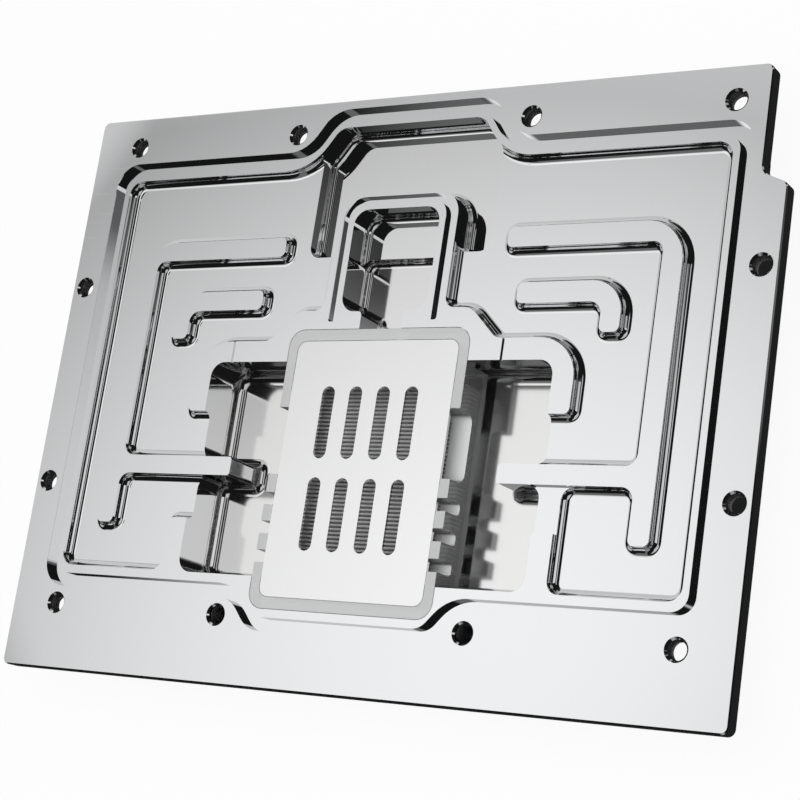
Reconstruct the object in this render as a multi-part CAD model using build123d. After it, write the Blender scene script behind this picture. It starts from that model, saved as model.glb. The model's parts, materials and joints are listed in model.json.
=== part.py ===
from build123d import *
import math
import os

# Liquid cooling cold plate. Sizes in mm, X along the long side, Y along the short side,
# Z up towards the machined face. It rests on its standoffs, whose tips are at z = 0.
# Depths are measured down from the machined face.

plate_width = 149.8
plate_height = 111.2
plate_corner = 1.3
edge_chamfer = 0.25
flange_thickness = 3.0
body_thickness = 11.0
body_wall = 2.3
body_margin_right = 4.75
body_foot = 3.55
body_corner = 3.0
notch_width = 4.7
notch_height = 20.4
notch_slope = 2.0
notch_corner = 2.2

channel_depth = 1.8
channel_fillet = 1.4
rib_width = 3.75
rib_end = 1.1
port_depth = 5.2
well_depth = 7.3
well_fillet = 1.1
pool_depth = 9.5
pool_fillet = 1.9
sill_depth = 1.0

gland_width = 2.55
gland_depth = 1.5
gland_land = 1.2
gland_reach_x = 68.4
gland_top = 45.9
gland_bottom = -39.8
gland_corner = 5.0
port_rise = 8.0
gland_bump_x = 17.45
gland_bump_foot_x = 23.05
gland_bump_arc = 7.0
insert_dip = 5.7
gland_dip_x = 18.55
gland_dip_foot_x = 23.35
gland_dip_arc = 6.0

pool_reach_x = 36.35
pool_top = 4.45
pool_bottom = -35.65
arm_width = 4.05
bar_width = 3.5
bar_top = -13.8
bar_end_x = 28.2

fin_pitch = 0.75
fin_thickness = 0.35
fin_height = 3.2
fin_reach_x = 14.6
fin_field = 33.0

insert_width = 38.4
insert_height = 51.8
insert_centre_y = -15.45
insert_rim = 3.0
insert_corner = 3.0
insert_wall = 2.2
seat_film = 0.03
fit_gap = 0.1

jet_width = 34.3
jet_height = 47.4
jet_thickness = 0.6
jet_corner = 1.8
slot_width = 2.7
slot_length = 13.4
slot_pitch = 5.9
slot_rows = 16.9

screw_mouth = 4.2
screw_bore = 3.4
blind_screw_depth = 7.0
corner_screw_x = 64.2
lower_right_screw_x = 64.75
port_screw_x = 25.25
lower_screw_x = 25.9
side_screw_x = 71.8
side_screws_y = (20.2, -19.4)
top_screw_y = 49.45
bottom_screw_y = -43.1

plateau_size = 34.0
plateau_rise = 1.3
pad_width = 12.0
pad_height = 13.0
pad_pitch = 15.0
pad_x = 26.0
recess_width = 17.0
recess_height = 62.0
recess_x = 54.5
recess_skin = 3.2
standoff_rise = 3.5
standoff_diameter = 6.0
standoff_bore = 2.5
card_pattern_x = 81.0
card_pattern_y = 41.0
card_edge_x = 60.0
card_edge_y = 38.0

# Cutters run this far past the face that they open, and added metal starts this far inside
overrun = 1.0
root = 0.5

face_z = body_thickness + standoff_rise


def outline(corners):
    # Closed face through (x, y, radius) corners, straight between the corner arcs.
    arcs = []
    for index, (x, y, radius) in enumerate(corners):
        here = Vector(x, y)
        before = (Vector(*corners[index - 1][:2]) - here).normalized()
        after = (Vector(*corners[(index + 1) % len(corners)][:2]) - here).normalized()
        half = math.radians(before.get_angle(after)) / 2
        reach = radius / math.tan(half)
        inward = (before + after).normalized()
        middle = here + inward * (radius / math.sin(half) - radius)
        arcs.append((here + before * reach, middle, here + after * reach))
    edges = []
    for index, (start, middle, end) in enumerate(arcs):
        edges.append(ThreePointArc(start, middle, end))
        following = arcs[(index + 1) % len(arcs)][0]
        if (following - end).length > 1e-4:
            edges.append(Line(end, following))
    return make_face(edges)


def mirrored(corners):
    # Outline from its right-hand corners, top to bottom, and their mirror image.
    return outline(corners + [(-x, y, radius) for x, y, radius in reversed(corners)])


def both_sides(corners):
    face = outline(corners)
    return [face, mirror(face, Plane.YZ)]


def block(face, deep, shallow=0.0):
    # Solid below the machined face, from one depth up to another.
    return extrude(Pos(0, 0, face_z - deep) * face, deep - shallow, dir=(0, 0, 1))


def pocket(face, depth, radius):
    # Cutter with rounded floor edges that runs out through the machined face.
    cutter = block(face, depth, -overrun)
    return fillet(cutter.edges().group_by(Axis.Z)[0], radius)


def soften(face, spots, radius):
    # Rounds the corners of a face that are nearest to the given spots.
    for x, y in spots:
        face = fillet(face.vertices().sort_by_distance(Vector(x, y))[0], radius)
    return face


def grid(x, y):
    return [(side_x * x, side_y * y) for side_x in (-1, 1) for side_y in (-1, 1)]


# Levels and lines that the pockets share
channel_inset = gland_width + gland_land
channel_top = gland_top - channel_inset
channel_reach_x = gland_reach_x - channel_inset
bump_lean = math.tan(math.atan2(port_rise, gland_bump_foot_x - gland_bump_x) / 2)
dip_lean = math.tan(math.atan2(insert_dip, gland_dip_foot_x - gland_dip_x) / 2)
channel_bump_x = gland_bump_x - channel_inset * bump_lean
channel_foot_x = gland_bump_foot_x - channel_inset * bump_lean
arm_top = pool_top + rib_width + 0.25
arm_reach_x = pool_reach_x + arm_width
bar_bottom = bar_top - bar_width
seat_bottom = insert_centre_y - insert_height / 2 - fit_gap

# Plate with its notch, and the thicker body behind it that carries the pockets
half_width = plate_width / 2
half_height = plate_height / 2
notch_x = half_width - notch_width
notch_y = half_height - notch_height
plate_face = outline([
    (notch_x, half_height, plate_corner),
    (notch_x, notch_y + notch_slope / 2, notch_corner),
    (half_width, notch_y - notch_slope / 2, plate_corner),
    (half_width, -half_height, plate_corner),
    (-half_width, -half_height, plate_corner),
    (-half_width, half_height, plate_corner),
])
flange = block(plate_face, flange_thickness)
flange = chamfer(flange.edges().group_by(Axis.Z)[-1], edge_chamfer)

body_top = channel_top + body_wall
body_right = channel_reach_x + body_margin_right
body_left = -channel_reach_x - body_wall
body_bottom = pool_bottom - body_foot
body_step_y = notch_y - 4.0
foot_bottom = seat_bottom - 6.95
foot_x = lower_screw_x + 2.6
foot_slope_x = foot_x + 5.0
bump_x = channel_bump_x + 4.1
bump_foot_x = channel_foot_x + 3.1
body_face = outline([
    (bump_x, body_top + port_rise, body_corner),
    (bump_foot_x, body_top, body_corner),
    (body_right - 2.6, body_top, body_corner),
    (body_right - 2.6, body_step_y + 1.0, 2.0),
    (body_right, body_step_y - 1.0, 2.0),
    (body_right, body_bottom, body_corner),
    (foot_slope_x, body_bottom, body_corner),
    (foot_x, foot_bottom, body_corner),
    (-foot_x, foot_bottom, body_corner),
    (-foot_slope_x, body_bottom, body_corner),
    (body_left, body_bottom, body_corner),
    (body_left, body_top, body_corner),
    (-bump_foot_x, body_top, body_corner),
    (-bump_x, body_top + port_rise, body_corner),
])
plate = flange + block(body_face, body_thickness, flange_thickness)

# Shallow channels: everything inside the channel edge except the lands and ribs
channel_face = mirrored([
    (channel_bump_x, channel_top + port_rise, gland_bump_arc - channel_inset),
    (channel_foot_x, channel_top, gland_bump_arc + channel_inset),
    (channel_reach_x, channel_top, 2.8),
    (channel_reach_x, pool_bottom, 2.6),
])
wall_reach_x = 12.95
wall_top = 36.55
wall_foot = 14.2
arm_bottom = -5.05
arm_start_x = pool_reach_x - 4.0
shoulder_face = mirrored([
    (wall_reach_x, wall_top, 4.9),
    (wall_reach_x, wall_foot, 2.0),
    (18.4, wall_foot, 4.2),
    (24.2, arm_top, 2.6),
    (arm_reach_x, arm_top, 7.5),
    (arm_reach_x, arm_bottom, rib_end),
    (arm_start_x, arm_bottom, 1.0),
    (arm_start_x, 0.0, 1.0),
])

leg_x = 57.8
leg_bottom = -27.0
rib_start_x = 23.9
rib_top = 28.75
outer_rib = both_sides([
    (rib_start_x, rib_top, rib_end),
    (leg_x, rib_top, 7.5),
    (leg_x, leg_bottom, rib_end),
    (leg_x - rib_width, leg_bottom, rib_end),
    (leg_x - rib_width, bar_bottom, 2.25),
    (bar_end_x, bar_bottom, 0.6),
    (bar_end_x, bar_top, 0.6),
    (leg_x - rib_width, bar_top, 2.25),
    (leg_x - rib_width, rib_top - rib_width, 1.9),
    (rib_start_x, rib_top - rib_width, rib_end),
])
hook_x = 47.65
hook_start_x = 27.25
hook_top = 18.4
hook_bottom = 9.2
inner_rib = both_sides([
    (hook_start_x, hook_top, rib_end),
    (hook_x, hook_top, 6.0),
    (hook_x, hook_bottom, rib_end),
    (hook_x - rib_width, hook_bottom, rib_end),
    (hook_x - rib_width, hook_top - rib_width, 2.25),
    (hook_start_x, hook_top - rib_width, rib_end),
])
stub_top = -25.55
stub_end = pool_bottom - 4.0
stub = both_sides([
    (arm_start_x, stub_top, 1.0),
    (arm_reach_x, stub_top, rib_end),
    (arm_reach_x, stub_end, 1.0),
    (arm_start_x, stub_end, 1.0),
])

# The right-hand channel leaves the pool over a sill that is cut less deep
sill_x = pool_reach_x + arm_width / 2
sill_y = (stub_top + bar_bottom) / 2
sill_span = bar_bottom - stub_top
sill_face = Pos(sill_x - 1.0, sill_y) * Rectangle(arm_width + 2.0, sill_span + 2.4)
channel_cut = channel_face
for island in [shoulder_face, sill_face] + outer_rib + inner_rib + stub:
    channel_cut = channel_cut - island
inner_corners = [(arm_reach_x, pool_bottom), (-arm_reach_x, pool_bottom), (arm_reach_x, bar_bottom)]
channel_cut = soften(channel_cut, inner_corners, 2.25)
plate -= pocket(channel_cut, channel_depth, channel_fillet)
sill_room = Pos(sill_x, sill_y) * Rectangle(arm_width + 2 * channel_fillet, sill_span)
plate -= block(sill_room, sill_depth, -overrun)

# Port pocket round the inverted U wall
port_reach_x = 19.45
port_bottom = 25.1
port_face = channel_face & mirrored([
    (port_reach_x, channel_top + port_rise + 4.0, 1.0),
    (port_reach_x, port_bottom, 2.25),
])
port_face = port_face - shoulder_face
port_corners = [(side * port_reach_x, channel_top + port_rise / 3) for side in (-1, 1)]
port_corners += [(side * wall_reach_x, port_bottom) for side in (-1, 1)]
plate -= pocket(soften(port_face, port_corners, 1.6), port_depth, well_fillet)

# Well inside the U wall: a first level, a deeper one and the neck to the jet insert
well_reach_x = wall_reach_x - rib_width
well_top = wall_top - 3.05
well_step = 25.5
well_bottom = 13.85
neck_reach_x = 4.45
upper_well = mirrored([
    (well_reach_x, well_top, 3.0),
    (well_reach_x, well_step - 3.0, 2.0),
])
lower_well = mirrored([
    (well_reach_x, well_step, 2.0),
    (well_reach_x, well_bottom, 3.0),
    (neck_reach_x, well_bottom, 0.8),
    (neck_reach_x, pool_top - 4.0, 1.5),
])
plate -= pocket(upper_well, port_depth, well_fillet)
plate -= pocket(lower_well, well_depth, well_fillet)

# Central pool with the free bars reaching into it
pool_face = mirrored([
    (pool_reach_x, pool_top, 2.8),
    (pool_reach_x, bar_top, 2.25),
    (bar_end_x, bar_top, 0.6),
    (bar_end_x, bar_bottom, 0.6),
    (pool_reach_x, bar_bottom, 2.25),
    (pool_reach_x, pool_bottom, 2.8),
])
plate -= pocket(pool_face, pool_depth, pool_fillet)

# Seat for the insert rim
seat = Pos(0, insert_centre_y) * RectangleRounded(
    insert_width + 2 * fit_gap, insert_height + 2 * fit_gap, insert_corner + fit_gap)
plate -= block(seat, insert_rim, -overrun)

# Cooling fins over the chip
fin_count = int(fin_field / fin_pitch) + 1
first_fin_y = insert_centre_y - (fin_count - 1) / 2 * fin_pitch
fin_face = Rectangle(2 * fin_reach_x, fin_thickness)
fin_root = pool_depth + root / 2
plate += [
    block(Pos(0, first_fin_y + index * fin_pitch) * fin_face, fin_root, pool_depth - fin_height)
    for index in range(fin_count)
]


def gland_outline(inset, corner):
    # Edge of the O-ring gland with its bumps round the port and under the insert. An inset
    # edge runs parallel to the outer one.
    bump_shift = inset * bump_lean
    dip_shift = inset * dip_lean
    return mirrored([
        (gland_bump_x - bump_shift, gland_top + port_rise - inset, gland_bump_arc - inset),
        (gland_bump_foot_x - bump_shift, gland_top - inset, gland_bump_arc + inset),
        (gland_reach_x - inset, gland_top - inset, corner),
        (gland_reach_x - inset, gland_bottom + inset, corner),
        (gland_dip_foot_x - dip_shift, gland_bottom + inset, gland_dip_arc + inset),
        (gland_dip_x - dip_shift, gland_bottom - insert_dip + inset, gland_dip_arc - inset),
    ])


gland_face = gland_outline(0.0, gland_corner) - gland_outline(gland_width, gland_corner - 2.0)
plate -= block(gland_face, gland_depth, -overrun)

# Narrow seal groove on the U wall, and a slit across each shoulder
groove_width = 1.15
groove_depth = 0.9
groove_x = 11.6
groove_top = wall_top - 0.6
groove_end = 12.0
groove_outer = mirrored([
    (groove_x, groove_top, 4.3),
    (groove_x, groove_end, 0.5),
])
groove_inner = mirrored([
    (groove_x - groove_width, groove_top - groove_width, 4.3 - groove_width),
    (groove_x - groove_width, groove_end - overrun, 0.5),
])
plate -= block(groove_outer - groove_inner, groove_depth, -overrun)
slit_width = 0.5
slit_depth = 0.4
for slit_x in (-32.0, 25.9):
    slit = Pos(slit_x, (arm_top + pool_top) / 2) * Rectangle(slit_width, arm_top - pool_top + 1.0)
    plate -= block(slit, slit_depth, -overrun)

# Tapped cover screw holes, blind where the body is behind them
side_screws = [(side * side_screw_x, y) for side in (-1, 1) for y in side_screws_y]
through_screws = side_screws + [
    (-corner_screw_x, top_screw_y),
    (corner_screw_x, top_screw_y),
    (-port_screw_x, top_screw_y),
    (port_screw_x, top_screw_y),
    (-corner_screw_x, bottom_screw_y),
    (lower_right_screw_x, bottom_screw_y),
]
blind_screws = [(side * lower_screw_x, bottom_screw_y) for side in (-1, 1)]
sink = (screw_mouth - screw_bore) / 2
for screws, depth in ((through_screws, flange_thickness + overrun), (blind_screws, blind_screw_depth)):
    for x, y in screws:
        bore = block(Circle(screw_bore / 2), depth, -overrun)
        mouth = Pos(0, 0, face_z - sink / 2) * Cone(screw_bore / 2, screw_mouth / 2, sink)
        plate -= Pos(x, y) * (bore + mouth)

# Back: chip plateau, memory pads, component recesses and threaded standoffs
plateau = Pos(0, insert_centre_y) * RectangleRounded(plateau_size, plateau_size, 2.0)
plate += block(plateau, body_thickness + plateau_rise, body_thickness - root)
for side in (-1, 1):
    for row in (-1, 0, 1):
        pad = Pos(side * pad_x, insert_centre_y + row * pad_pitch) * Rectangle(pad_width, pad_height)
        plate += block(pad, body_thickness + plateau_rise - 0.5, body_thickness - root)
    recess = Pos(side * recess_x, 0.0) * RectangleRounded(recess_width, recess_height, 3.0)
    plate -= block(recess, body_thickness + overrun, channel_depth + recess_skin)
standoffs = [(x, insert_centre_y + y) for x, y in grid(card_pattern_x / 2, card_pattern_y / 2)]
standoffs += [(x, card_edge_y) for x in (-card_edge_x, 0.0, card_edge_x)]
for x, y in standoffs:
    post = block(Circle(standoff_diameter / 2), face_z, body_thickness - root)
    plate += Pos(x, y) * post
    plate -= Pos(x, y) * block(Circle(standoff_bore / 2), face_z + overrun, body_thickness + 0.2)

# Clear insert: rim in the seat, side walls in the pool and a foot on its floor. A hair of
# sealant lifts the rim off the seat.
insert_face = Pos(0, insert_centre_y) * RectangleRounded(insert_width, insert_height, insert_corner)
cavity_reach_x = fin_reach_x + 0.5
cavity_height = fin_field + 0.8
foot_reach_x = cavity_reach_x + insert_wall
foot_edge = 1.1
foot_height = 1.7
wall_clearance = 0.5
foot_face = Pos(0, insert_centre_y) * RectangleRounded(
    2 * foot_reach_x, cavity_height + 2 * insert_wall, 2.0)
cavity_face = Pos(0, insert_centre_y) * RectangleRounded(2 * cavity_reach_x, cavity_height, 0.8)
wall_face = Pos(0, (pool_top + pool_bottom) / 2) * Rectangle(
    insert_width, pool_top - pool_bottom - 2 * wall_clearance)
foot = block(foot_face, pool_depth, insert_rim - root)
foot = chamfer(foot.edges().group_by(Axis.Z)[0], foot_edge)
insert = block(insert_face, insert_rim - seat_film) + foot
insert += block(wall_face, pool_depth - foot_height, insert_rim - root)
insert -= block(cavity_face, pool_depth + overrun, -overrun)
jet_seat = Pos(0, insert_centre_y) * RectangleRounded(
    jet_width + 2 * fit_gap, jet_height + 2 * fit_gap, jet_corner + fit_gap)
insert -= block(jet_seat, jet_thickness, -overrun)

# Outlet notches across both side walls, and the inlet facing the neck
notch_floor = 4.6
for centre_y, length, radius in ((-10.5, 12.6, 2.0), (-21.3, 2.3, 0.9), (-26.6, 2.3, 0.9), (-31.9, 2.3, 0.9)):
    across = Pos(0, centre_y) * Rectangle(insert_width + 2 * overrun, length)
    outlet = block(across, notch_floor, -overrun)
    insert -= fillet(outlet.edges().filter_by(Axis.X).group_by(Axis.Z)[0], radius)
inlet_y = insert_centre_y + (cavity_height + insert_wall) / 2
inlet = Pos(0, inlet_y) * Rectangle(2 * neck_reach_x, insert_wall + overrun)
insert -= block(inlet, well_depth, insert_rim)

# Jet plate with two rows of slots, flush with the machined face
jet_face = Pos(0, insert_centre_y) * RectangleRounded(jet_width, jet_height, jet_corner)
for row in (-0.5, 0.5):
    for column in (-1.5, -0.5, 0.5, 1.5):
        spot = Pos(column * slot_pitch, insert_centre_y + row * slot_rows)
        jet_face -= spot * Rot(0, 0, 90) * SlotOverall(slot_length, slot_width)
jet_plate = block(jet_face, jet_thickness)

os.makedirs("parts", exist_ok=True)
for name, shape in (("cold_plate", plate), ("jet_insert", insert), ("jet_plate", jet_plate)):
    solids = shape.solids()
    print(name, len(solids), "solid", round(shape.volume, 1), "mm3", shape.is_valid)
    export_step(solids[0], f"parts/{name}.step")
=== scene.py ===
import json
import math

import bmesh
import bpy
from mathutils import Matrix, Vector

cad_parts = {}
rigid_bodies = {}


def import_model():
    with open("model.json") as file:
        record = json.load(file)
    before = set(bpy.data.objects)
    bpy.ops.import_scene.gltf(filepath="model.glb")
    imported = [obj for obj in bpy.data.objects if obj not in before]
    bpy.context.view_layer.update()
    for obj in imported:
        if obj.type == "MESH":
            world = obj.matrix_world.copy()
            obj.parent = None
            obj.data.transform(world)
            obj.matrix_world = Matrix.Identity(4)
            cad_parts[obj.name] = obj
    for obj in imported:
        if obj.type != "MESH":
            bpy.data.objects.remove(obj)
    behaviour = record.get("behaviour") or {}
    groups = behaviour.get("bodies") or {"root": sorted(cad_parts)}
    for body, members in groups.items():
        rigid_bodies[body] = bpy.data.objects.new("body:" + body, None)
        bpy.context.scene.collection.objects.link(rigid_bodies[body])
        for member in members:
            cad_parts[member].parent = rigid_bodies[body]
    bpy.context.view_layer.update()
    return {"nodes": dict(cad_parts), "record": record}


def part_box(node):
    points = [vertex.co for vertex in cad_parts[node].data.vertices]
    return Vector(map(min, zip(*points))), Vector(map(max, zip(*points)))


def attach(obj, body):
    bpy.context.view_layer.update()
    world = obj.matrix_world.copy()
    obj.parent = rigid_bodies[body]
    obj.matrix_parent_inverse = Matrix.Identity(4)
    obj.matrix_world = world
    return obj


# Liquid cooling cold plate, lying on its standoffs. Metres, +Z out of the machined face.

for leftover in list(bpy.data.objects):
    bpy.data.objects.remove(leftover)

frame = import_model()
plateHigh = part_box("cold_plate")[1]
insertLow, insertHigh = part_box("jet_insert")
faceZ = plateHigh[2]
print("frame loaded", sorted(frame["nodes"]))


# Small helpers for node trees. Colours are linear, with an opacity of 1 at the end.

white = (1.0, 1.0, 1.0, 1.0)


def addNode(tree, kind, **settings):
    node = tree.nodes.new(kind)
    for name, value in settings.items():
        setattr(node, name, value)
    return node


def feed(tree, socket, value):
    # A number or colour goes straight on the socket, an output is linked to it
    if isinstance(value, bpy.types.NodeSocket):
        tree.links.new(value, socket)
    else:
        socket.default_value = value


def calc(tree, operation, *values):
    node = addNode(tree, "ShaderNodeMath", operation=operation)
    for socket, value in zip(node.inputs, values):
        feed(tree, socket, value)
    return node.outputs[0]


def fade(tree, value, start, end, low=0.0, high=1.0):
    # Smooth step: low at start, high at end, whichever of the two is larger
    flip = start > end
    node = addNode(tree, "ShaderNodeMapRange", interpolation_type="SMOOTHSTEP")
    feed(tree, node.inputs["Value"], value)
    node.inputs["From Min"].default_value = end if flip else start
    node.inputs["From Max"].default_value = start if flip else end
    node.inputs["To Min"].default_value = high if flip else low
    node.inputs["To Max"].default_value = low if flip else high
    return node.outputs["Result"]


def between(tree, value, start, full, ebb, end):
    # 1 from full to ebb, and 0 outside start and end
    return calc(tree, "MULTIPLY", fade(tree, value, start, full), fade(tree, value, end, ebb))


def near(tree, value, middle, reach, soft):
    # 1 within reach of the middle, fading to 0 just outside
    off = calc(tree, "ABSOLUTE", calc(tree, "SUBTRACT", value, middle))
    return fade(tree, off, reach + soft, reach)


def splitAxes(tree, vector):
    split = addNode(tree, "ShaderNodeSeparateXYZ")
    feed(tree, split.inputs[0], vector)
    return split.outputs


def objectCoords(tree):
    return addNode(tree, "ShaderNodeTexCoord").outputs["Object"]


def facingUp(tree, start, end):
    # Rises to 1 on the faces that look up
    normal = addNode(tree, "ShaderNodeNewGeometry").outputs["Normal"]
    return fade(tree, splitAxes(tree, normal)["Z"], start, end)


def mixShaders(tree, share, first, second):
    mix = addNode(tree, "ShaderNodeMixShader")
    feed(tree, mix.inputs["Fac"], share)
    tree.links.new(first.outputs[0], mix.inputs[1])
    tree.links.new(second.outputs[0], mix.inputs[2])
    return mix


def newMaterial(name):
    material = bpy.data.materials.new(name)
    material.use_nodes = True
    tree = material.node_tree
    tree.nodes.clear()
    output = addNode(tree, "ShaderNodeOutputMaterial")
    return material, tree, output


def newGroup(name, numbers, results):
    # numbers: name and default of each input, results: name of each value that comes out
    group = bpy.data.node_groups.new(name, "ShaderNodeTree")
    for label, default in numbers.items():
        socket = group.interface.new_socket(name=label, in_out="INPUT", socket_type="NodeSocketFloat")
        socket.default_value = default
    for label in results:
        group.interface.new_socket(name=label, in_out="OUTPUT", socket_type="NodeSocketFloat")
    return group, addNode(group, "NodeGroupInput"), addNode(group, "NodeGroupOutput")


def placeGroup(tree, group, **numbers):
    node = addNode(tree, "ShaderNodeGroup", node_tree=group)
    for label, value in numbers.items():
        feed(tree, node.inputs[label], value)
    return node


# Camera at the photo's viewing angle, lens and sensor in millimetres

camera = {
    "place": (0.19741, -0.08187, 0.30427),
    "right": (0.8441, 0.1457, -0.5160),
    "up": (-0.0040, 0.9640, 0.2657),
    "lens": 90.78,
    "sensor": 36.0,
    "nearest": 0.01,
}


def makeCamera():
    data = bpy.data.cameras.new("photoCamera")
    data.sensor_width = camera["sensor"]
    data.lens = camera["lens"]
    data.clip_start = camera["nearest"]
    right = Vector(camera["right"]).normalized()
    back = right.cross(Vector(camera["up"])).normalized()
    up = back.cross(right)
    turn = Matrix((right, up, back)).transposed().to_4x4()
    eye = bpy.data.objects.new("photoCamera", data)
    eye.matrix_world = Matrix.Translation(camera["place"]) @ turn
    bpy.context.scene.collection.objects.link(eye)
    bpy.context.scene.camera = eye


# Studio: what the mirror faces see, and a white backdrop for the camera. Lights are placed by
# the X and Y of the direction in which they lie, and lean is its angle from straight up
# towards +X, in radians. Four numbers are where a light starts, is full, ebbs and ends.

studio = {
    "hotSpot": (-0.49, 0.12),
    "hotLevel": 0.96,
    "hotTurn": math.radians(60),
    "fallAlong": 5.7,
    "fallAcross": 10.2,
    "rimLevel": (0.14, 0.56),
    "rimRise": (0.24, 0.40),
    "sideLevel": 0.62,
    "sideRise": (-0.205, -0.240),
    "keyLean": (-0.31, -0.39),
    "keySlant": 2.6,
    "keyFoot": (-1.82, -1.66),
    "rightLevel": (0.73, 0.45),
    "rightFall": (0.12, 0.32),
    "rightX": (0.46, 0.53, 0.84, 0.875),
    "rightY": (0.05, 0.09),
    "rightSlant": -0.25,
    "rightTop": (0.135, 0.085),
    "panels": (
        {"x": (0.50, 0.60, 1.00, 1.10), "y": (0.20, 0.25, 0.28, 0.38), "level": 0.12},
        {"x": (0.12, 0.16, 0.30, 0.36), "y": (0.05, 0.09, 0.30, 0.36), "level": 0.50},
        {"x": (-0.20, -0.12, 0.28, 0.36), "y": (-0.40, -0.32, 0.06, 0.12), "level": 0.55},
        {"x": (-0.20, -0.10, 0.40, 0.50), "y": (-1.10, -1.00, -0.92, -0.86), "level": 0.35},
        {"x": (-0.30, -0.22, 0.06, 0.14), "y": (0.76, 0.84, 1.00, 1.10), "level": 0.28},
        {"x": (-1.10, -1.00, -0.86, -0.78), "y": (-0.60, -0.50, -0.12, -0.04), "level": 0.50},
    ),
    "horizonZ": (0.34, 0.28),
    "horizonX": (0.54, 0.62, 0.74, 0.84),
    "horizonY": (0.40, 0.50),
    "horizonLevel": 0.35,
    "gapLevel": 0.008,
    "belowLevel": 0.02,
    "groundBlend": 0.01,
    "ambient": 0.35,
}


def brighter(tree, light, mask, level):
    return calc(tree, "MAXIMUM", light, calc(tree, "MULTIPLY", mask, level))


def addKeyLight(tree, x, y, z):
    # Large light on the left, brightest at its hot spot
    offX = calc(tree, "SUBTRACT", x, studio["hotSpot"][0])
    offY = calc(tree, "SUBTRACT", y, studio["hotSpot"][1])
    cosine, sine = math.cos(studio["hotTurn"]), math.sin(studio["hotTurn"])
    along = calc(tree, "MULTIPLY_ADD", offX, cosine, calc(tree, "MULTIPLY", offY, sine))
    across = calc(tree, "MULTIPLY_ADD", offX, sine, calc(tree, "MULTIPLY", offY, -cosine))
    fallAlong = calc(tree, "MULTIPLY", calc(tree, "MULTIPLY", along, along), studio["fallAlong"])
    fallAcross = calc(tree, "MULTIPLY", calc(tree, "MULTIPLY", across, across), studio["fallAcross"])
    hot = calc(tree, "SUBTRACT", studio["hotLevel"], calc(tree, "ADD", fallAlong, fallAcross))
    rim = calc(tree, "MAXIMUM", hot, fade(tree, y, *studio["rimRise"], *studio["rimLevel"]))
    key = brighter(tree, rim, fade(tree, across, *studio["sideRise"]), studio["sideLevel"])
    foot = fade(tree, calc(tree, "MULTIPLY_ADD", x, studio["keySlant"], y), *studio["keyFoot"])
    side = fade(tree, calc(tree, "ARCTAN2", x, z), *studio["keyLean"])
    return calc(tree, "MULTIPLY", key, calc(tree, "MULTIPLY", side, foot))


def addRightLight(tree, light, x, y):
    # Long light on the right with a slanted top
    slanted = calc(tree, "MULTIPLY_ADD", x, studio["rightSlant"], y)
    top = fade(tree, slanted, *studio["rightTop"])
    edges = calc(tree, "MULTIPLY", fade(tree, y, *studio["rightY"]), top)
    right = calc(tree, "MULTIPLY", between(tree, x, *studio["rightX"]), edges)
    return brighter(tree, light, right, fade(tree, y, *studio["rightFall"], *studio["rightLevel"]))


def addSoftLights(tree, light, x, y, z):
    # Small soft panels, and two strips low on the right
    for panel in studio["panels"]:
        mask = calc(tree, "MULTIPLY", between(tree, x, *panel["x"]), between(tree, y, *panel["y"]))
        light = brighter(tree, light, mask, panel["level"])
    low = fade(tree, z, *studio["horizonZ"])
    low = calc(tree, "MULTIPLY", low, between(tree, x, *studio["horizonX"]))
    aside = fade(tree, calc(tree, "ABSOLUTE", y), *studio["horizonY"])
    return brighter(tree, light, calc(tree, "MULTIPLY", low, aside), studio["horizonLevel"])


def addBackground(tree, strength):
    background = addNode(tree, "ShaderNodeBackground")
    feed(tree, background.inputs["Color"], white)
    feed(tree, background.inputs["Strength"], strength)
    return background


def makeStudio():
    world = bpy.data.worlds.new("studio")
    bpy.context.scene.world = world
    world.use_nodes = True
    tree = world.node_tree
    tree.nodes.clear()
    x, y, z = splitAxes(tree, addNode(tree, "ShaderNodeTexCoord").outputs["Generated"])
    light = addKeyLight(tree, x, y, z)
    light = addRightLight(tree, light, x, y)
    light = addSoftLights(tree, light, x, y, z)
    light = calc(tree, "MAXIMUM", light, studio["gapLevel"])
    above = calc(tree, "MULTIPLY", light, fade(tree, z, -studio["groundBlend"], 0.0))
    below = fade(tree, z, 0.0, -studio["groundBlend"], 0.0, studio["belowLevel"])
    seen = addBackground(tree, calc(tree, "MAXIMUM", above, below))

    path = addNode(tree, "ShaderNodeLightPath")
    soft = mixShaders(tree, path.outputs["Is Diffuse Ray"], seen, addBackground(tree, studio["ambient"]))
    final = mixShaders(tree, path.outputs["Is Camera Ray"], soft, addBackground(tree, 1.0))
    output = addNode(tree, "ShaderNodeOutputWorld")
    tree.links.new(final.outputs[0], output.inputs["Surface"])


floor = {
    "reach": 3.0,
    "gap": 0.00005,
    "colour": (0.92, 0.92, 0.93, 1.0),
    # Painted shade level beside the plate, painted glow level further out and the distances between
    # them, seen only by mirror rays
    "paintedShadeLevel": 0.015,
    "openLevel": 0.55,
    "openFrom": (0.008, 0.020),
    "whiteShare": 0.93,
}


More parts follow.
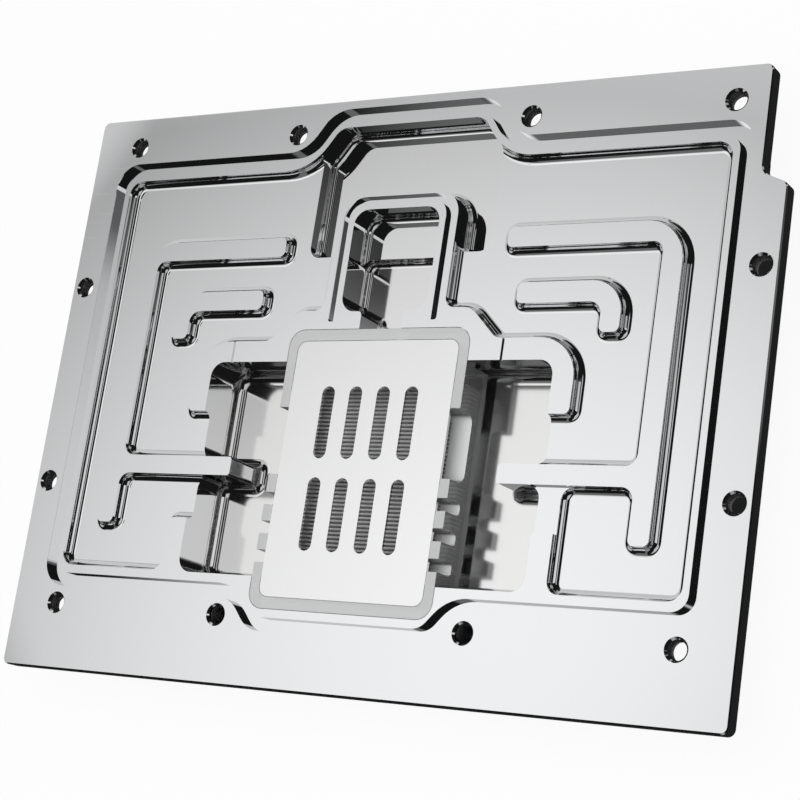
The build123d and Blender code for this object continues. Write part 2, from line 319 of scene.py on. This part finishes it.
def makeFloor():
    # Pale floor: near white to the camera, with the plate's faint shadow. Mirror rays see instead a
    # glowing card with painted shade: dark close to the plate and painted glow further out.
    mesh = bpy.data.meshes.new("floor")
    shape = bmesh.new()
    bmesh.ops.create_grid(shape, x_segments=1, y_segments=1, size=floor["reach"])
    bmesh.ops.translate(shape, verts=shape.verts, vec=(0.0, 0.0, -floor["gap"]))
    shape.to_mesh(mesh)
    shape.free()
    plane = bpy.data.objects.new("floor", mesh)
    bpy.context.scene.collection.objects.link(plane)
    material, tree, output = newMaterial("paleFloor")
    pale = addNode(tree, "ShaderNodeBsdfDiffuse")
    pale.inputs["Color"].default_value = floor["colour"]
    glow = addNode(tree, "ShaderNodeEmission")
    place = splitAxes(tree, objectCoords(tree))
    outX = calc(tree, "SUBTRACT", calc(tree, "ABSOLUTE", place["X"]), plateHigh[0])
    outY = calc(tree, "SUBTRACT", calc(tree, "ABSOLUTE", place["Y"]), plateHigh[1])
    beside = calc(tree, "MAXIMUM", outX, outY)
    # Glowing card for mirror rays only: painted shade beside the plate, painted glow further out
    card = addNode(tree, "ShaderNodeEmission")
    level = fade(tree, beside, *floor["openFrom"], floor["paintedShadeLevel"], floor["openLevel"])
    feed(tree, card.inputs["Strength"], level)
    path = addNode(tree, "ShaderNodeLightPath")
    share = calc(tree, "MULTIPLY", path.outputs["Is Camera Ray"], floor["whiteShare"])
    lit = mixShaders(tree, share, pale, glow)
    withPaintedShade = mixShaders(tree, path.outputs["Is Glossy Ray"], lit, card)
    tree.links.new(withPaintedShade.outputs[0], output.inputs["Surface"])
    mesh.materials.append(material)


lamp = {
    "place": (0.08, -0.02, 0.60),
    "size": 0.5,
    "power": 2.3,
}


def makeLamp():
    # Soft light on matt surfaces, which mirrors and clear faces don't show
    data = bpy.data.lights.new("softLamp", "AREA")
    data.size = lamp["size"]
    data.energy = lamp["power"]
    holder = bpy.data.objects.new("softLamp", data)
    holder.location = lamp["place"]
    holder.rotation_euler = Vector(lamp["place"]).to_track_quat("Z", "Y").to_euler()
    holder.visible_glossy = False
    holder.visible_transmission = False
    bpy.context.scene.collection.objects.link(holder)


# Finishes

polishing = {
    "numbers": {"Hairlines": 900.0, "Clouds": 40.0},
    "turn": (0.0, 0.0, 0.4),
    "stretch": (0.04, 1.0, 1.0),
    "detail": 3.0,
    "fineFrom": (0.58, 0.75),
    "gatherFrom": (0.4, 0.7),
}


def makePolishGroup():
    # Faint hairlines from polishing, and the soft clouds in which they gather
    group, given, result = newGroup("polishMarks", polishing["numbers"], ["Haze", "Height"])
    coords = objectCoords(group)
    stretch = addNode(group, "ShaderNodeMapping")
    stretch.inputs["Rotation"].default_value = polishing["turn"]
    stretch.inputs["Scale"].default_value = polishing["stretch"]
    feed(group, stretch.inputs["Vector"], coords)
    lines = addNode(group, "ShaderNodeTexNoise")
    feed(group, lines.inputs["Vector"], stretch.outputs[0])
    feed(group, lines.inputs["Scale"], given.outputs["Hairlines"])
    lines.inputs["Detail"].default_value = polishing["detail"]
    clouds = addNode(group, "ShaderNodeTexNoise")
    feed(group, clouds.inputs["Vector"], coords)
    feed(group, clouds.inputs["Scale"], given.outputs["Clouds"])
    fine = fade(group, lines.outputs["Fac"], *polishing["fineFrom"])
    gathered = fade(group, clouds.outputs["Fac"], *polishing["gatherFrom"])
    feed(group, result.inputs["Haze"], calc(group, "MULTIPLY", fine, gathered))
    feed(group, result.inputs["Height"], lines.outputs["Fac"])
    return group


metal = {
    "nickel": {
        "tones": ((0.90, 0.905, 0.915, 1.0), (0.885, 0.88, 0.87, 1.0)),
        "roughness": (0.03, 0.09), "floors": 0.12, "fins": 0.55,
    },
    "steel": {
        "tones": ((0.93, 0.93, 0.935, 1.0), (0.91, 0.91, 0.905, 1.0)),
        "roughness": (0.03, 0.09), "floors": 0.0, "fins": 0.0,
    },
    # Thread finish: the nickel darkened as painted shade inside the bores, darker still towards the
    # bottom
    "thread": {
        "tones": ((0.34, 0.34, 0.35, 1.0), (0.22, 0.22, 0.225, 1.0)),
        "roughness": (0.45, 0.60), "floors": 0.0, "fins": 0.0,
    },
    "floorFacing": (0.9, 0.97),
    "floorLevel": (0.006, 0.008),
    "finLevel": 0.0035,
    "finMargin": (0.004, 0.009),
    "finEdge": 0.0003,
    "finMetal": 0.1,
    "bump": 0.02,
    "bumpReach": 0.00001,
}


def makeMetal(name, finish, polish):
    # Mirror metal: tone shifts a little from the face down to the feet of the standoffs
    material, tree, output = newMaterial(name)
    marks = placeGroup(tree, polish, **polishing["numbers"])
    x, y, z = splitAxes(tree, objectCoords(tree))
    depth = fade(tree, z, faceZ, 0.0)
    tone = addNode(tree, "ShaderNodeMix", data_type="RGBA")
    feed(tree, tone.inputs["Factor"], depth)
    tone.inputs["A"].default_value, tone.inputs["B"].default_value = finish["tones"]
    shader = addNode(tree, "ShaderNodeBsdfPrincipled")
    shader.inputs["Metallic"].default_value = 1.0
    feed(tree, shader.inputs["Base Color"], tone.outputs["Result"])
    smooth, hazed = finish["roughness"]
    rough = calc(tree, "MULTIPLY_ADD", marks.outputs["Haze"], hazed - smooth, smooth)

    if finish["floors"]:
        # Deep pocket floors keep a fine satin from the cutter
        level = facingUp(tree, *metal["floorFacing"])
        shallow, deep = metal["floorLevel"]
        satin = calc(tree, "MULTIPLY", level, fade(tree, z, faceZ - shallow, faceZ - deep))
        rough = calc(tree, "MAXIMUM", rough, calc(tree, "MULTIPLY", satin, finish["floors"]))
    if finish["fins"]:
        # The fins under the insert are left as milled
        fins = fade(tree, z, faceZ - metal["finLevel"], faceZ - metal["finLevel"] - metal["finEdge"])
        for value, low, high, margin in zip((x, y), insertLow, insertHigh, metal["finMargin"]):
            inside = near(tree, value, (low + high) / 2, (high - low) / 2 - margin, metal["finEdge"])
            fins = calc(tree, "MULTIPLY", fins, inside)
        rough = calc(tree, "MAXIMUM", rough, calc(tree, "MULTIPLY", fins, finish["fins"]))
        metallic = calc(tree, "MULTIPLY_ADD", fins, metal["finMetal"] - 1.0, 1.0)
        feed(tree, shader.inputs["Metallic"], metallic)
    feed(tree, shader.inputs["Roughness"], rough)
    bump = addNode(tree, "ShaderNodeBump")
    bump.inputs["Strength"].default_value = metal["bump"]
    bump.inputs["Distance"].default_value = metal["bumpReach"]
    feed(tree, bump.inputs["Height"], marks.outputs["Height"])
    feed(tree, shader.inputs["Normal"], bump.outputs["Normal"])
    tree.links.new(shader.outputs[0], output.inputs["Surface"])
    return material


acrylic = {
    "marks": {"Hairlines": 1400.0, "Clouds": 120.0},
    "colour": (0.97, 0.98, 0.985, 1.0),
    "roughness": (0.015, 0.10),
    "milled": 0.10,
    "index": 1.49,
    "frostColour": (0.93, 0.935, 0.94, 1.0),
    "frostRoughness": 0.55,
    "frostShare": (0.17, 0.62, 0.88),
    "frostFacing": (0.5, 0.9),
    "milledDepth": (0.00005, 0.0002),
}


def makeAcrylic(polish):
    # Clear body with a breath of frost: weak on walls, stronger on top, and most on milled floors
    material, tree, output = newMaterial("clearAcrylic")
    marks = placeGroup(tree, polish, **acrylic["marks"])
    height = splitAxes(tree, objectCoords(tree))["Z"]
    shallow, deep = acrylic["milledDepth"]
    milled = fade(tree, height, faceZ - shallow, faceZ - deep)
    level = facingUp(tree, *acrylic["frostFacing"])

    clear = addNode(tree, "ShaderNodeBsdfPrincipled")
    clear.inputs["Base Color"].default_value = acrylic["colour"]
    clear.inputs["Transmission Weight"].default_value = 1.0
    clear.inputs["IOR"].default_value = acrylic["index"]
    smooth, hazed = acrylic["roughness"]
    rough = calc(tree, "MULTIPLY_ADD", marks.outputs["Haze"], hazed - smooth, smooth)
    rough = calc(tree, "MAXIMUM", rough, calc(tree, "MULTIPLY", milled, acrylic["milled"]))
    feed(tree, clear.inputs["Roughness"], rough)

    frost = addNode(tree, "ShaderNodeBsdfPrincipled")
    frost.inputs["Base Color"].default_value = acrylic["frostColour"]
    frost.inputs["Roughness"].default_value = acrylic["frostRoughness"]
    frost.inputs["IOR"].default_value = acrylic["index"]
    walls, top, floors = acrylic["frostShare"]
    share = calc(tree, "MULTIPLY_ADD", milled, floors - top, top - walls)
    share = calc(tree, "MULTIPLY_ADD", share, level, walls)
    blend = mixShaders(tree, share, clear, frost)
    tree.links.new(blend.outputs[0], output.inputs["Surface"])
    return material


# Screw threads in the tapped holes, worked out from the stated bolt patterns

mmPerMetre = 1000

threads = {
    "cover": {"pitch": 0.0007, "crest": 0.00016, "start": 0.0005, "depth": 0.0030},
    "coverLower": {"pitch": 0.0007, "crest": 0.00016, "start": 0.0005, "depth": 0.0068},
    "card": {"pitch": 0.0005, "crest": 0.00012, "start": 0.0003, "depth": 0.0030},
    "stepsPerTurn": 24,
    "sunk": 0.00002,
    "halfSection": 0.5,
}


def patternPlaces(mount):
    dims = mount["dims"]
    reachX = dims["spacing_x_mm"] / mmPerMetre / 2
    reachY = dims.get("spacing_y_mm", 0.0) / mmPerMetre / 2
    rows = (-1, 1) if reachY else (0,)
    middle = Vector(mount["pos_m"])
    return [middle + Vector((sx * reachX, sy * reachY, 0.0)) for sx in (-1, 1) for sy in rows]


def addThread(shape, place, inward, radius, form):
    # One helical ridge that climbs the bore from its mouth
    half = form["pitch"] * threads["halfSection"]
    root = radius + threads["sunk"]
    top = place + Vector((0.0, 0.0, inward * (form["start"] + half)))
    profile = [
        shape.verts.new(top + Vector((root, 0.0, -half))),
        shape.verts.new(top + Vector((radius - form["crest"], 0.0, 0.0))),
        shape.verts.new(top + Vector((root, 0.0, half))),
    ]
    section = shape.faces.new(profile)
    turns = (form["depth"] - form["start"] - 2 * half) / form["pitch"]
    steps = round(turns * threads["stepsPerTurn"])
    rise = inward * form["pitch"] / threads["stepsPerTurn"]
    bmesh.ops.spin(
        shape, geom=[section] + list(section.edges) + profile, cent=place, axis=(0.0, 0.0, 1.0),
        dvec=(0.0, 0.0, rise), angle=steps * math.tau / threads["stepsPerTurn"], steps=steps)


def makeThreads(name, prefix, finish):
    shape = bmesh.new()
    for mount in frame["record"]["mounts"]:
        if mount["kind"] != "bolt_pattern" or not mount["name"].startswith(prefix):
            continue
        form = threads["coverLower" if "lower" in mount["name"] else prefix]
        inward = -1.0 if mount["axis"][2] > 0 else 1.0
        for place in patternPlaces(mount):
            addThread(shape, place, inward, mount["dims"]["hole_r_mm"] / mmPerMetre, form)
    bmesh.ops.recalc_face_normals(shape, faces=shape.faces)
    mesh = bpy.data.meshes.new(name)
    shape.to_mesh(mesh)
    shape.free()
    mesh.materials.append(finish)
    piece = bpy.data.objects.new(name, mesh)
    bpy.context.scene.collection.objects.link(piece)
    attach(piece, "root")
    print(name, len(mesh.polygons), "faces")


def dress(node, material):
    piece = frame["nodes"][node]
    for slot in piece.material_slots:
        slot.material = material


bpy.context.scene.view_settings.view_transform = "Standard"
makeCamera()
makeStudio()
makeFloor()
makeLamp()
print("studio ready")

polish = makePolishGroup()
nickel = makeMetal("mirrorNickel", metal["nickel"], polish)
steel = makeMetal("polishedSteel", metal["steel"], polish)
# Threads get a copy of the nickel darkened as painted shade
shadedThreadNickel = makeMetal("shadedThreadNickel", metal["thread"], polish)
dress("cold_plate", nickel)
dress("jet_plate", steel)
dress("jet_insert", makeAcrylic(polish))
print("finishes ready")

makeThreads("cover_threads", "cover", shadedThreadNickel)
makeThreads("card_threads", "card", shadedThreadNickel)
